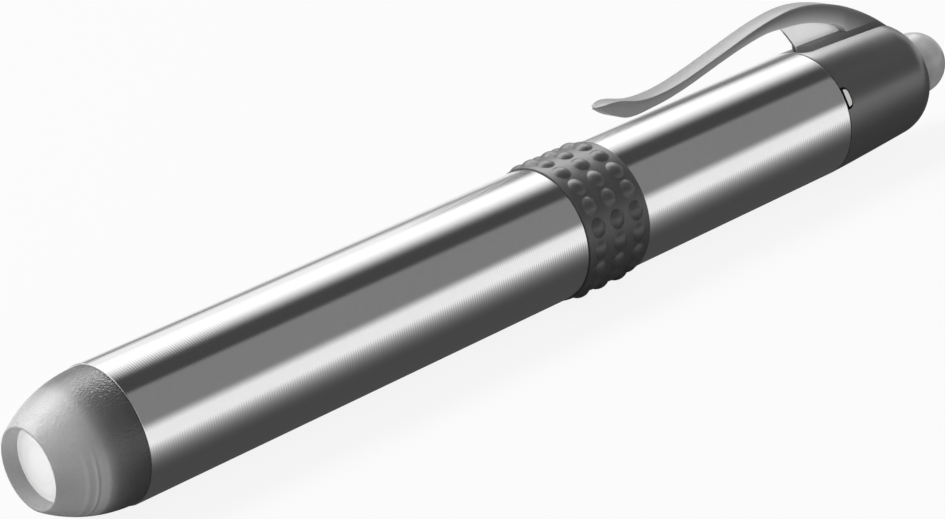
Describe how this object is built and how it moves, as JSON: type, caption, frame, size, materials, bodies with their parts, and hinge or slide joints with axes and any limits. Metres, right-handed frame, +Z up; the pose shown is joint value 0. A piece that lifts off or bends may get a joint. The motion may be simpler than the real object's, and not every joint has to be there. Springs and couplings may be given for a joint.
{
  "type": "penlight",
  "caption": "Slim metal-tube penlight with a frosted clear nose, rubber grip band, smoke plastic tail cap with pocket clip, and a domed push button.",
  "frame": {"origin": "on the pen's axis, where the plain barrel starts behind its front chamfer", "axes": "+X along the pen from the nose to the button, +Z up through the middle of the clip, +Y to the left when looking along +X"},
  "size_m": [0.1257, 0.0154, 0.0199],
  "materials": {
    "frosted_clear": "frosted translucent",
    "clear_lens": "clear moulded",
    "turned_metal": "finely turned, bright",
    "grip_rubber": "matt",
    "seal_rubber": "matt",
    "smoke_plastic": "satin translucent",
    "button_plastic": "satin translucent",
    "mirror_metal": "vacuum metallised",
    "lamp_epoxy": "clear",
    "board": "solder mask",
    "chip": "matt",
    "brass": "satin",
    "nickel": "nickel plated",
    "spring_steel": "bright drawn",
    "black_plastic": "matt",
    "white_plastic": "matt",
    "liner_card": "matt",
    "cell_jacket": "gloss sleeve on a nickel can"
  },
  "bodies": {
    "barrel": {"nose_cap": "frosted_clear", "nose_seal": "seal_rubber", "lens": "clear_lens", "reflector": "mirror_metal", "led_lamp": "lamp_epoxy", "led_legs": "nickel", "led_board": "board", "board_resistor": "chip", "positive_contact": "brass", "ground_clip": "brass", "board_holder": "black_plastic", "body_tube": "turned_metal", "grip_ring": "grip_rubber", "cell_liner": "liner_card"},
    "tail": {"tail_cap": "smoke_plastic", "ground_strip": "nickel", "battery_spring": "spring_steel", "spring_plate": "brass", "lock_ring": "black_plastic", "switch_housing": "white_plastic", "button_spring": "spring_steel"},
    "cell_rear": {"rear_cell": "cell_jacket"},
    "cell_front": {"front_cell": "cell_jacket"},
    "button": {"tail_button": "button_plastic", "switch_plunger": "white_plastic", "contact_bridge": "brass"}
  },
  "joints": [
    {"name": "tail_pull", "type": "slide", "parent": "barrel", "child": "tail", "axis": [1, 0, 0], "range_m": [0, 0.12]},
    {"name": "rear_cell_slide", "type": "slide", "parent": "barrel", "child": "cell_rear", "axis": [1, 0, 0], "range_m": [0, 0.1]},
    {"name": "front_cell_slide", "type": "slide", "parent": "barrel", "child": "cell_front", "axis": [1, 0, 0], "range_m": [0, 0.05]},
    {"name": "button_press", "type": "slide", "parent": "tail", "child": "button", "axis": [-1, 0, 0], "range_m": [0, 0.0018], "stiffness_N_per_m": 500, "springref_m": -0.0015, "deforming": ["button_spring"]}
  ],
  "couplings": [
    {"joint": "rear_cell_slide", "follows": "tail_pull", "ratio": 0.8},
    {"joint": "front_cell_slide", "follows": "tail_pull", "ratio": 0.4}
  ]
}
